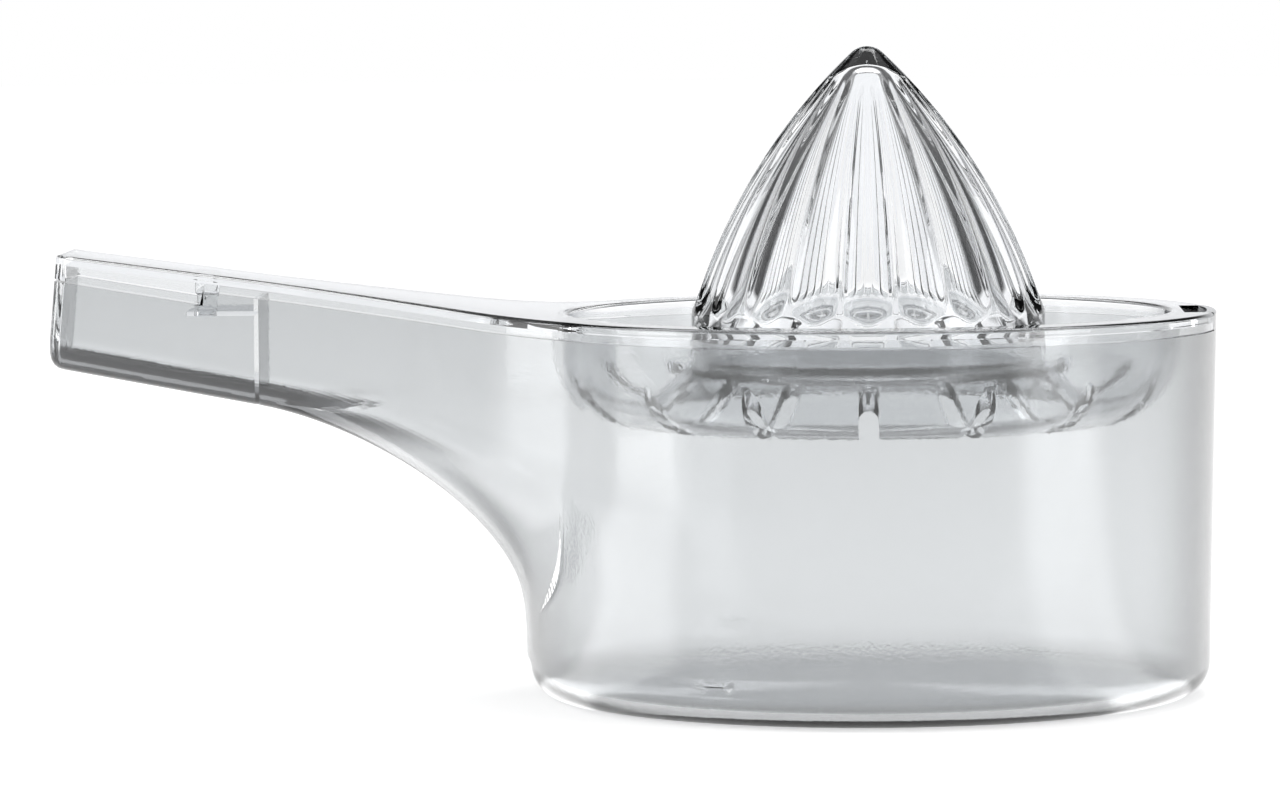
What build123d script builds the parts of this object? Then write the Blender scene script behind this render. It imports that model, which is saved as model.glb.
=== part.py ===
from build123d import *
from math import atan, cos, degrees, radians, sin, sqrt
import os

# Citrus juicer in clear plastic: a jug with a trough-shaped handle, a strainer lid whose cover runs along
# the handle, and a ribbed reamer cone that sits on the lid's hub.
# Frame: Z up, origin on the jug's axis at the table, handle towards -X, pouring lip towards +X.
# A reach is a distance from the jug's axis towards the handle's tip.

# Jug body
rim_radius = 70.0
rim_height = 77.1
draft_run = 1.4
base_corner = 6.5
wall = 2.0
floor_thickness = 2.4
base_radius = rim_radius - draft_run

# Handle: a neck that flares into the jug, and a straight grip
neck_length = 52.0
grip_length = 42.6
grip_width = 28.0
grip_drop = 18.0
grip_rise_share = 0.187
grip_corner = 6.5
tip_lean_share = 0.09
tip_rounding = 2.5
neck_foot = 12.6
neck_lead = 19.6
neck_drop = 25.7
flare_meet_angle = 36.8
flare_lead = 10.0
flare_run = 22.0
bulkhead = 2.0
grip_start = rim_radius + neck_length
handle_reach = grip_start + grip_length
grip_bottom = rim_height - grip_drop

# The rounded lower corner where the neck meets the jug, as shares of the half width and of the height
neck_corner_width_share = 0.95
neck_corner_height_share = 0.80
neck_slices = 12
# Slices inside the jug: place and half width as shares of the jug's radius at the neck's foot, bottom as
# a share of neck_foot
inner_slice_shares = ((0.9, 0.54, 0.8), (0.81, 0.605, 0.6), (0.67, 0.69, 0.4))
# Share of a corner's size at which a cubic curve's inner point makes it nearly round
round_share = 0.4477

# Side view of the seam and of the lid's top, which both rise along the handle
lid_band = 3.7
lid_plate = 2.0
handle_gap = 0.3
rise_inset = 18.0
rise_run = 28.0
rise_share = 0.133
step_run = 11.0
step_drop = 2.7
step_rise_share = 0.167
seam_height = rim_height - lid_band
rise_start = rim_radius - rise_inset
rise_angle = degrees(atan(rise_share))
rise_radius = rise_run / sin(radians(rise_angle))

# Peg under the cover, and the shelf in the handle whose hole takes it
peg_run = 11.4
peg_radius = 2.45
peg_tip_radius = 2.05
peg_tip_length = 4.1
peg_stand_off = 2.9
peg_clearance = 0.3
shelf_margin = 3.1
shelf_thickness = 1.6
shelf_depth = 4.0
peg_reach = grip_start + peg_run

# Gutter of the lid: a U-shaped ring with a slope up to the seat of the cone
ring_width = 9.4
gutter_width = 25.0
gutter_depth = 22.5
gutter_turn = 15.8
gutter_flat = 1.4
seat_depth = 11.3
seat_margin = 1.0
slot_count = 16
slot_width = 3.9
slot_inner_margin = 0.8
slot_outer_margin = 1.0
mouth_radius = rim_radius - ring_width
gutter_bottom = rim_height - gutter_depth
seat_height = rim_height - seat_depth

# Cone, its seat on the lid and the lid's hub inside its foot
foot_band = 11.6
cone_height = 66.1
ogive_radius = 118.5
tip_radius = 4.6
cone_wall = 4.0
cone_foot_wall = 2.3
cone_fit = 0.3
hub_rise = 6.0
cone_radius = mouth_radius - gutter_width
cone_shoulder = seat_height + foot_band
cone_apex = seat_height + cone_height
hub_radius = cone_radius - cone_foot_wall - cone_fit
hub_height = seat_height + hub_rise
seat_radius = cone_radius + seat_margin

# Flutes of the cone: how far above its seat they begin, how far below its apex they end
flute_count = 20
flute_depth_share = 0.062
ridge_land_share = 0.008
flute_foot_rise = 10.4
flute_foot_run = 6.5
flute_head_drop = 7.9
flute_head_run = 5.0
foot_rings = 10
side_rings = 10
head_rings = 5
flute_foot = seat_height + flute_foot_rise
flute_head = cone_apex - flute_head_drop

# Pouring lip of the jug and the lid's notch around it
lip_width = 24.0
lip_clearance = 0.3
notch_clearance = 0.4
scoop_radius = 14.0
scoop_depth = 0.9
scoop_drop = 11.1

# How far cutting and trimming shapes run past what they trim
overrun = 20.0
trough_top = rim_height + overrun
far_reach = handle_reach + overrun

os.makedirs("parts", exist_ok=True)


def curve_point(points, t):
    """Point of a cubic curve with these four control points."""
    u = 1 - t
    weights = (u**3, 3 * u * u * t, 3 * u * t * t, t**3)
    return tuple(sum(w * p[i] for w, p in zip(weights, points)) for i in (0, 1))


def curve_height(points, x):
    """Second coordinate, at x, of a cubic curve whose first coordinate only rises."""
    low, high = 0.0, 1.0
    for _ in range(40):
        middle = (low + high) / 2
        if curve_point(points, middle)[0] < x:
            low = middle
        else:
            high = middle
    return curve_point(points, low)[1]


def body_radius(z):
    """Outer radius of the jug's drafted wall."""
    return base_radius + (rim_radius - base_radius) * (z - base_corner) / (rim_height - base_corner)


def underside(inset):
    """Control points of the neck's underside, from the grip down to the jug's wall."""
    start = (-grip_start, grip_bottom + inset)
    end = (-body_radius(neck_foot) + inset, neck_foot)
    lead = (start[0] + neck_lead, start[1] - grip_rise_share * neck_lead)
    drop = (end[0], end[1] + neck_drop)
    return start, lead, drop, end


def flare(inset):
    """Control points of the neck's side in plan, from the grip to where it meets the rim."""
    out_x, out_y = -cos(radians(flare_meet_angle)), sin(radians(flare_meet_angle))
    end = ((rim_radius - inset) * out_x, (rim_radius - inset) * out_y)
    start = (-grip_start, grip_width / 2 - inset)
    lead = (start[0] + flare_lead, start[1])
    run = (end[0] - flare_run * out_y, end[1] + flare_run * out_x)
    return start, lead, run, end


def trough_section(x, half, low, corner_width, corner_height, lean_share=0):
    """Handle's cross-section at x: straight sides, rounded lower corners and a flat middle.

    It stands upright, or leans towards the jug by the given share of its height.
    """
    flat = half - corner_width
    height = trough_top - low
    with BuildSketch(Plane(origin=(x, 0, low), x_dir=(0, 1, 0), z_dir=(1, 0, -lean_share))) as section:
        with BuildLine():
            Polyline((-half, corner_height), (-half, height), (half, height), (half, corner_height))
            for side in (1, -1):
                Bezier(
                    (side * half, corner_height),
                    (side * half, round_share * corner_height),
                    (side * (flat + round_share * corner_width), 0),
                    (side * flat, 0),
                )
            Line((-flat, 0), (flat, 0))
        make_face()
    return section.sketch.face()


def neck_sections(inset):
    """Sections of the neck between the grip and the jug, inset from the outside on every face."""
    under, side = underside(inset), flare(inset)
    corner = grip_corner - inset
    start_width_share = corner / (grip_width / 2 - inset)
    start_height_share = corner / (rim_height - grip_bottom - inset)
    sections = []
    for index in range(neck_slices + 1):
        place = index / neck_slices
        x, low = curve_point(under, place)
        half = curve_height(side, x)
        width_share = start_width_share + (neck_corner_width_share - start_width_share) * place
        height_share = start_height_share + (neck_corner_height_share - start_height_share) * place
        sections.append(trough_section(x, half, low, width_share * half, height_share * (rim_height - low)))
    foot_radius = body_radius(neck_foot)
    for place, half_share, low_share in inner_slice_shares:
        half = half_share * (foot_radius - inset)
        low = low_share * neck_foot
        corner_width = neck_corner_width_share * half
        corner_height = neck_corner_height_share * (rim_height - low)
        sections.append(trough_section(-place * foot_radius, half, low, corner_width, corner_height))
    return sections


def grip_sections(near, inset):
    """Two sections of the straight grip, from a reach to the leaning tip, inset from the outside."""
    corner = grip_corner - inset
    sections = []
    for reach, lean_share in ((near, 0), (handle_reach - inset, tip_lean_share)):
        low = grip_bottom + inset + grip_rise_share * (reach - grip_start)
        sections.append(trough_section(-reach, grip_width / 2 - inset, low, corner, corner, lean_share))
    return sections


# Outside that the jug and the lid share, still open upwards
with BuildPart() as envelope:
    with BuildSketch(Plane.XZ) as body_profile:
        with BuildLine():
            foot = (body_radius(base_corner) - base_corner, 0)
            Line((0, 0), foot)
            side_start = JernArc(foot, (1, 0), base_corner, 90)
            Line(side_start @ 1, (body_radius(trough_top), trough_top))
            Polyline((body_radius(trough_top), trough_top), (0, trough_top), (0, 0))
        make_face()
    revolve(axis=Axis.Z)
    loft(neck_sections(0), ruled=True)
    loft(grip_sections(grip_start, 0), ruled=True)
    tip_edges = envelope.faces().sort_by(Axis.X)[0].edges().sort_by(Axis.Z)[:-1]
    fillet(tip_edges, tip_rounding)


def rising_line(height, near_x):
    """Draw a side view line that is level from near_x to the rise and then climbs to the far reach."""
    level = Line((near_x, height), (-rise_start, height))
    bend = JernArc(level @ 1, (-1, 0), rise_radius, -rise_angle)
    bend_end = bend @ 1
    climb = rise_share * (far_reach + bend_end.X)
    return Line(bend_end, (-far_reach, bend_end.Y + climb)) @ 1


def rising_height(height, reach):
    """Height of such a line at a reach beyond its bend."""
    bend_top = rise_radius * (1 - cos(radians(rise_angle)))
    return height + bend_top + rise_share * (reach - rise_start - rise_run)


def seam_step(gap, step_gap):
    """Draw the side view of the deeper seam over the grip, and return its two ends."""
    reach = grip_start + step_run
    low = rising_height(seam_height, reach) - step_drop + gap
    near_point = (-reach - step_gap, low + step_rise_share * step_gap)
    return near_point, (-far_reach, low + step_rise_share * (far_reach - reach))


# Side of the jug's seam, drawn as the region below it
with BuildPart() as below_seam:
    with BuildSketch(Plane.XZ):
        with BuildLine():
            high_end = rising_line(seam_height, far_reach)
            Polyline(high_end, (-far_reach, -overrun), (far_reach, -overrun), (far_reach, seam_height))
        make_face()
        with BuildLine():
            near_point, far_point = seam_step(0, 0)
            open_top = ((near_point[0], trough_top), (-far_reach, trough_top))
            Polyline(near_point, *open_top, far_point, near_point)
        make_face(mode=Mode.SUBTRACT)
    extrude(amount=far_reach, both=True)

# Slab between the lid's lower side and its top, in side view
with BuildPart() as lid_slab:
    with BuildSketch(Plane.XZ):
        with BuildLine():
            top_end = rising_line(rim_height, far_reach)
            Polyline(top_end, (-far_reach, -overrun), (far_reach, -overrun), (far_reach, rim_height))
        make_face()
        with BuildLine():
            gap_end, gap_low = -rise_start + wall, seam_height + handle_gap
            low_end = rising_line(gap_low, gap_end)
            Polyline(low_end, (-far_reach, -overrun), (gap_end, -overrun), (gap_end, gap_low))
        make_face(mode=Mode.SUBTRACT)
        with BuildLine():
            Polyline(
                (-rise_start, -overrun),
                (-rise_start, seam_height),
                (far_reach, seam_height),
                (far_reach, -overrun),
                (-rise_start, -overrun),
            )
        make_face(mode=Mode.SUBTRACT)
        with BuildLine():
            near_point, far_point = seam_step(handle_gap, handle_gap)
            top_near = (near_point[0], rising_height(seam_height + lid_plate, -near_point[0]))
            top_far = (-far_reach, rising_height(seam_height + lid_plate, far_reach))
            Polyline(near_point, top_near, top_far, far_point, near_point)
        make_face()
    extrude(amount=far_reach, both=True)


def cavity_profile(low):
    """Draw the inside of the jug's body in section, from a height up, with its rounded floor corner."""
    corner = base_corner - wall
    inner_foot = (body_radius(base_corner) - base_corner, low)
    Line((0, low), inner_foot)
    bend = JernArc(inner_foot, (1, 0), corner, 90)
    top = (body_radius(trough_top) - wall, trough_top)
    Polyline(bend @ 1, top, (0, trough_top), (0, low))


# Pouring lip, the stretch of wall that stands up into the lid's notch
with BuildPart() as lip:
    add(envelope)
    with Locations((rim_radius, 0, seam_height - wall)):
        Box(
            2 * overrun,
            lip_width,
            lid_band + wall,
            align=(Align.CENTER, Align.CENTER, Align.MIN),
            mode=Mode.INTERSECT,
        )

with BuildPart() as jug:
    add(envelope)
    add(below_seam, mode=Mode.INTERSECT)
    add(lip)
    with BuildSketch(Plane.XZ):
        with BuildLine():
            cavity_profile(floor_thickness)
        make_face()
    revolve(axis=Axis.Z, mode=Mode.SUBTRACT)
    loft(neck_sections(wall), ruled=True, mode=Mode.SUBTRACT)
    loft(grip_sections(grip_start + bulkhead, wall), ruled=True, mode=Mode.SUBTRACT)
    shelf_top = rising_height(seam_height, peg_reach) - shelf_depth
    shelf_start = grip_start + bulkhead / 2
    with Locations((-shelf_start, 0, shelf_top)):
        Box(
            peg_reach + shelf_margin - shelf_start,
            grip_width - wall,
            shelf_thickness,
            align=(Align.MAX, Align.CENTER, Align.MAX),
        )
    with Locations((-peg_reach, 0, shelf_top)):
        Hole(peg_tip_radius + peg_clearance, shelf_thickness)
    scoop_bottom = rim_height - scoop_drop
    with Locations((body_radius(scoop_bottom) - wall + scoop_depth - scoop_radius, 0, scoop_bottom)):
        Cylinder(scoop_radius, overrun, align=(Align.CENTER, Align.CENTER, Align.MIN), mode=Mode.SUBTRACT)
        Sphere(scoop_radius, mode=Mode.SUBTRACT)
jug.part.label = "jug"
export_step(jug.part, "parts/jug.step")

# Hollow under the lid's plate, inside its skirt
with BuildPart() as lid_hollow:
    with BuildSketch(Plane.XZ):
        with BuildLine():
            cavity_profile(floor_thickness)
        make_face()
    revolve(axis=Axis.Z)
    loft(neck_sections(wall), ruled=True)
    loft(grip_sections(grip_start, wall), ruled=True)
    with BuildSketch(Plane.XZ):
        with BuildLine():
            plate_low = rim_height - lid_plate
            high_end = rising_line(plate_low, far_reach)
            Polyline(high_end, (-far_reach, -overrun), (far_reach, -overrun), (far_reach, plate_low))
        make_face()
    extrude(amount=far_reach, both=True, mode=Mode.INTERSECT)

with BuildPart() as strainer_lid:
    add(envelope)
    add(lid_slab, mode=Mode.INTERSECT)
    add(lid_hollow, mode=Mode.SUBTRACT)
    with Locations((0, 0, rim_height)):
        Cylinder(mouth_radius, overrun, mode=Mode.SUBTRACT)
    with Locations((mouth_radius + wall + notch_clearance, 0, rim_height)):
        Box(
            overrun,
            lip_width + 2 * lip_clearance,
            overrun,
            align=(Align.MIN, Align.CENTER, Align.CENTER),
            mode=Mode.SUBTRACT,
        )
    with BuildSketch(Plane.XZ):
        with BuildLine():
            outer = mouth_radius + wall
            slope_foot = outer - gutter_turn - gutter_flat
            slope_angle = atan((seat_height - gutter_bottom - wall) / (slope_foot - seat_radius))
            corner_shift = wall * sin(slope_angle) / (1 + cos(slope_angle))
            turn_height = gutter_bottom + gutter_turn
            inner_turn = JernArc((mouth_radius, turn_height), (0, -1), gutter_turn - wall, -90)
            outer_turn = JernArc((outer, turn_height), (0, -1), gutter_turn, -90)
            Polyline(
                inner_turn @ 1,
                (slope_foot, gutter_bottom + wall),
                (seat_radius, seat_height),
                (hub_radius, seat_height),
                (hub_radius, hub_height),
                (0, hub_height),
                (0, hub_height - wall),
                (hub_radius - wall, hub_height - wall),
                (hub_radius - wall, seat_height - wall),
                (seat_radius - corner_shift, seat_height - wall),
                (slope_foot - corner_shift, gutter_bottom),
                outer_turn @ 1,
            )
            rim_ends = ((outer, rim_height), (mouth_radius, rim_height))
            Polyline((outer, turn_height), *rim_ends, (mouth_radius, turn_height))
        make_face()
    revolve(axis=Axis.Z)
    with BuildSketch(Plane.XY.offset(gutter_bottom - wall)):
        slot_inner, slot_outer = seat_radius + slot_inner_margin, mouth_radius - slot_outer_margin
        with PolarLocations((slot_inner + slot_outer) / 2, slot_count):
            SlotOverall(slot_outer - slot_inner, slot_width)
    extrude(amount=gutter_turn + wall, mode=Mode.SUBTRACT)
    peg_top = rising_height(rim_height - lid_plate / 2, peg_reach)
    peg_shoulder = shelf_top + peg_stand_off
    with Locations((-peg_reach, 0, peg_top)):
        Cylinder(peg_radius, peg_top - peg_shoulder, align=(Align.CENTER, Align.CENTER, Align.MAX))
    with Locations((-peg_reach, 0, peg_shoulder)):
        Cylinder(peg_tip_radius, peg_tip_length, align=(Align.CENTER, Align.CENTER, Align.MAX))
strainer_lid.part.label = "strainer_lid"
export_step(strainer_lid.part, "parts/strainer_lid.step")

# Centre of the circle that the cone's side follows, left of the axis in section
chord = sqrt(cone_radius**2 + (cone_apex - cone_shoulder) ** 2)
chord_rise = sqrt(ogive_radius**2 - (chord / 2) ** 2) / chord
ogive_x = cone_radius / 2 - chord_rise * (cone_apex - cone_shoulder)
ogive_z = (cone_apex + cone_shoulder) / 2 - chord_rise * cone_radius


def ogive_at(z):
    """Radius of the cone's outside at a height."""
    if z <= cone_shoulder:
        return cone_radius
    return max(0, ogive_x + sqrt(max(0, ogive_radius**2 - (z - ogive_z) ** 2)))


def ogive_section(low_points, inset):
    """Draw half of the cone in section: points up from the foot, the side, the rounded tip and the axis."""
    radius = ogive_radius - inset
    start = low_points[-1]
    start_z = start[1]
    side_low = (ogive_x + sqrt(radius**2 - (start_z - ogive_z) ** 2), start_z)
    tip_centre_z = ogive_z + sqrt((radius - tip_radius) ** 2 - ogive_x**2)
    reach_share = radius / (radius - tip_radius)
    side_high = (ogive_x * (1 - reach_share), ogive_z + reach_share * (tip_centre_z - ogive_z))
    tip = (0, tip_centre_z + tip_radius)
    Polyline((0, low_points[0][1]), *low_points, *([side_low] if side_low[0] != start[0] else []))
    RadiusArc(side_low, side_high, -radius)
    RadiusArc(side_high, tip, -tip_radius)
    Line(tip, (0, low_points[0][1]))


def flute_ring(z, valley, ridge):
    """Cross-section of the fluted shape: hollow arcs between ridges."""
    with BuildSketch(Plane.XY.offset(z)) as ring:
        with BuildLine():
            for flute in range(flute_count):
                middle = flute * 360 / flute_count - 90
                half_step = 180 / flute_count
                corners = [(ridge, middle - half_step), (valley, middle), (ridge, middle + half_step)]
                ThreePointArc(*[(r * cos(radians(a)), r * sin(radians(a))) for r, a in corners])
        make_face()
    return ring.sketch.face()


def flute_growth(z):
    """How far the flutes have run out towards the surface, at their foot and at their head."""
    below = max(0, flute_foot + flute_foot_run - z) / flute_foot_run
    above = max(0, z - flute_head + flute_head_run) / flute_head_run
    return flute_depth_share * (cone_radius * below**2 + ogive_at(flute_head) * above**2)


def flute_rings():
    """Rings of the fluted shape from below the cone's foot to its apex."""
    foot_low, foot_high = seat_height - flute_foot_run, flute_foot + flute_foot_run
    head_low = flute_head - flute_head_run
    heights = [foot_low + (foot_high - foot_low) * index / foot_rings for index in range(foot_rings)]
    heights += [foot_high + (head_low - foot_high) * index / side_rings for index in range(side_rings)]
    heights += [head_low + (cone_apex - head_low) * index / head_rings for index in range(head_rings + 1)]
    rings = []
    for z in heights:
        base, growth = ogive_at(z), flute_growth(z)
        valley, ridge = base * (1 - flute_depth_share), base * (1 + ridge_land_share)
        rings.append(flute_ring(z, valley + growth, ridge + growth))
    return rings


with BuildPart() as reamer_cone:
    with BuildSketch(Plane.XZ):
        with BuildLine():
            ogive_section([(cone_radius, seat_height), (cone_radius, cone_shoulder)], 0)
        make_face()
    revolve(axis=Axis.Z)
    loft(flute_rings(), ruled=True, mode=Mode.INTERSECT)
    with BuildSketch(Plane.XZ):
        with BuildLine():
            bore = hub_radius + cone_fit
            ogive_section([(bore, seat_height), (bore, hub_height + cone_fit)], cone_wall)
        make_face()
    revolve(axis=Axis.Z, mode=Mode.SUBTRACT)
reamer_cone.part.label = "reamer_cone"
export_step(reamer_cone.part, "parts/reamer_cone.step")
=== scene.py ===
"""Clear plastic citrus juicer: a jug with a trough-shaped handle, a strainer lid and a reamer cone.

Lengths are in metres in the row's frame: Z up, origin on the jug's axis at the table, handle towards -X
and pouring lip towards +X. Every piece is a closed mesh worked out from the sizes below.
"""

import logging
from dataclasses import dataclass
from enum import Enum
from math import atan2, cos, hypot, pi, radians, sin, sqrt, tan
from typing import Sequence

import bmesh
import bpy
import numpy as np
from mathutils import Matrix, Vector


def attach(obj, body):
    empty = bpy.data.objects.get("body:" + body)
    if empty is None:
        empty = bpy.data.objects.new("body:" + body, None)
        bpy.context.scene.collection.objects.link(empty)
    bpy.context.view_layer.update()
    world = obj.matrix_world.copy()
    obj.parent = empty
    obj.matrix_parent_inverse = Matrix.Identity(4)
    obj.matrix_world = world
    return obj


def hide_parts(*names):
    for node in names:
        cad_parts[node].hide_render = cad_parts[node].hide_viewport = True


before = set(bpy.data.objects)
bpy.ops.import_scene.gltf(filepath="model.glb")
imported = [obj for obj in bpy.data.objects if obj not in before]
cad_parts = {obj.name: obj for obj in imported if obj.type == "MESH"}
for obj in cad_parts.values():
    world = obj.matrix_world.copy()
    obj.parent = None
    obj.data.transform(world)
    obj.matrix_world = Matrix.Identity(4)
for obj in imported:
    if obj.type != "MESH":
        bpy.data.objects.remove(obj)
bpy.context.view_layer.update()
log = logging.getLogger("citrus_juicer")

Profile = list[tuple[float, float]]

CURVE_SHARES = np.linspace(0, 1, 200)
SHARP_TURN = radians(32)
# Ranges of the masks for painted shade: dark edges on standing surfaces, and a dark band where the surface
# turns under above the grip's lower edge.
LYING_TO_STANDING = (0.95, 0.55)
UNDER_SHADE_SLOPES = (-0.10, -0.40)
UNDER_SHADE_HEIGHTS = (0.048, 0.058)


class Combine(Enum):
    """Ways to combine two closed meshes."""

    JOIN = "UNION"
    CUT = "DIFFERENCE"
    TRIM = "INTERSECT"


def new_object(name: str, points: np.ndarray, faces: Sequence[Sequence[int]]) -> bpy.types.Object:
    """Make a mesh object from points and faces, with doubled points merged and normals outwards.

    Args:
        name: Name of the object.
        points: Points as an N by 3 array.
        faces: Point numbers of each face.

    Returns:
        The linked object.
    """
    mesh = bpy.data.meshes.new(name)
    mesh.from_pydata(points.tolist(), [], [list(face) for face in faces])
    work = bmesh.new()
    work.from_mesh(mesh)
    bmesh.ops.remove_doubles(work, verts=work.verts, dist=1e-7)
    bmesh.ops.dissolve_degenerate(work, edges=work.edges, dist=1e-8)
    bmesh.ops.recalc_face_normals(work, faces=work.faces)
    work.to_mesh(mesh)
    work.free()
    made = bpy.data.objects.new(name, mesh)
    bpy.context.scene.collection.objects.link(made)
    return made


def combine(base: bpy.types.Object, tool: bpy.types.Object, how: Combine) -> bpy.types.Object:
    """Combine two closed meshes into the first one and drop the second.

    Args:
        base: Object that is changed.
        tool: Object that joins, cuts or trims it.
        how: What is done.

    Returns:
        The changed base.
    """
    modifier = base.modifiers.new("combine", "BOOLEAN")
    modifier.operation = how.value
    modifier.solver = "MANIFOLD"
    modifier.object = tool
    graph = bpy.context.evaluated_depsgraph_get()
    result = bpy.data.meshes.new_from_object(base.evaluated_get(graph))
    base.modifiers.clear()
    old = base.data
    base.data = result
    bpy.data.meshes.remove(old)
    bpy.data.objects.remove(tool)
    return base


def revolved(name: str, profile: Profile, columns: int) -> bpy.types.Object:
    """Make a solid of revolution about Z from an open profile whose two ends lie on the axis.

    Args:
        name: Name of the object.
        profile: Radius and height of each point, from the axis back to the axis.
        columns: Number of columns round the axis.

    Returns:
        The closed solid.
    """
    angles = np.arange(columns) * 2 * pi / columns
    radii, heights = np.array(profile).T
    points = np.stack(
        [
            np.outer(radii, np.cos(angles)),
            np.outer(radii, np.sin(angles)),
            np.repeat(heights[:, None], columns, axis=1),
        ],
        axis=-1,
    ).reshape(-1, 3)
    faces = []
    for row in range(len(profile) - 1):
        for column in range(columns):
            after = (column + 1) % columns
            low, high = row * columns, (row + 1) * columns
            faces.append((low + column, low + after, high + after, high + column))
    return new_object(name, points, faces)


def rounded(corners: Sequence[tuple[float, float, float]], steps: int = 8) -> Profile:
    """Round the corners of a profile.

    Args:
        corners: Radius, height and rounding of each corner. Ends and sharp corners have rounding zero.
        steps: Pieces of each rounding.

    Returns:
        The profile's points.
    """
    result: Profile = []
    for index, (x, y, radius) in enumerate(corners):
        if radius == 0:
            result.append((x, y))
            continue
        here = Vector((x, y))
        before = (Vector(corners[index - 1][:2]) - here).normalized()
        after = (Vector(corners[index + 1][:2]) - here).normalized()
        half = before.angle(after) / 2
        run = radius / tan(half)
        centre = here + (before + after).normalized() * radius / sin(half)
        first, last = here + before * run - centre, here + after * run - centre
        sweep = first.angle_signed(last)
        for step in range(steps + 1):
            turned = Matrix.Rotation(-sweep * step / steps, 2) @ first
            result.append(tuple(centre + turned))
    return result


def arc(centre: tuple[float, float], radius: float, start: float, end: float, steps: int) -> Profile:
    """Points of a circle's arc in the profile plane, with angles in degrees."""
    angles = np.radians(np.linspace(start, end, steps + 1))
    return [(centre[0] + radius * cos(a), centre[1] + radius * sin(a)) for a in angles]


def cubic(points: Sequence[tuple[float, float]], shares: np.ndarray) -> np.ndarray:
    """Points of a cubic curve at the given shares of its run, as an N by 2 array.

    Args:
        points: Its four control points.
        shares: Shares of its run, from 0 to 1.

    Returns:
        One row for each share.
    """
    t = shares[:, None]
    u = 1 - t
    p = np.array(points)
    return u**3 * p[0] + 3 * u * u * t * p[1] + 3 * u * t * t * p[2] + t**3 * p[3]


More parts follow.
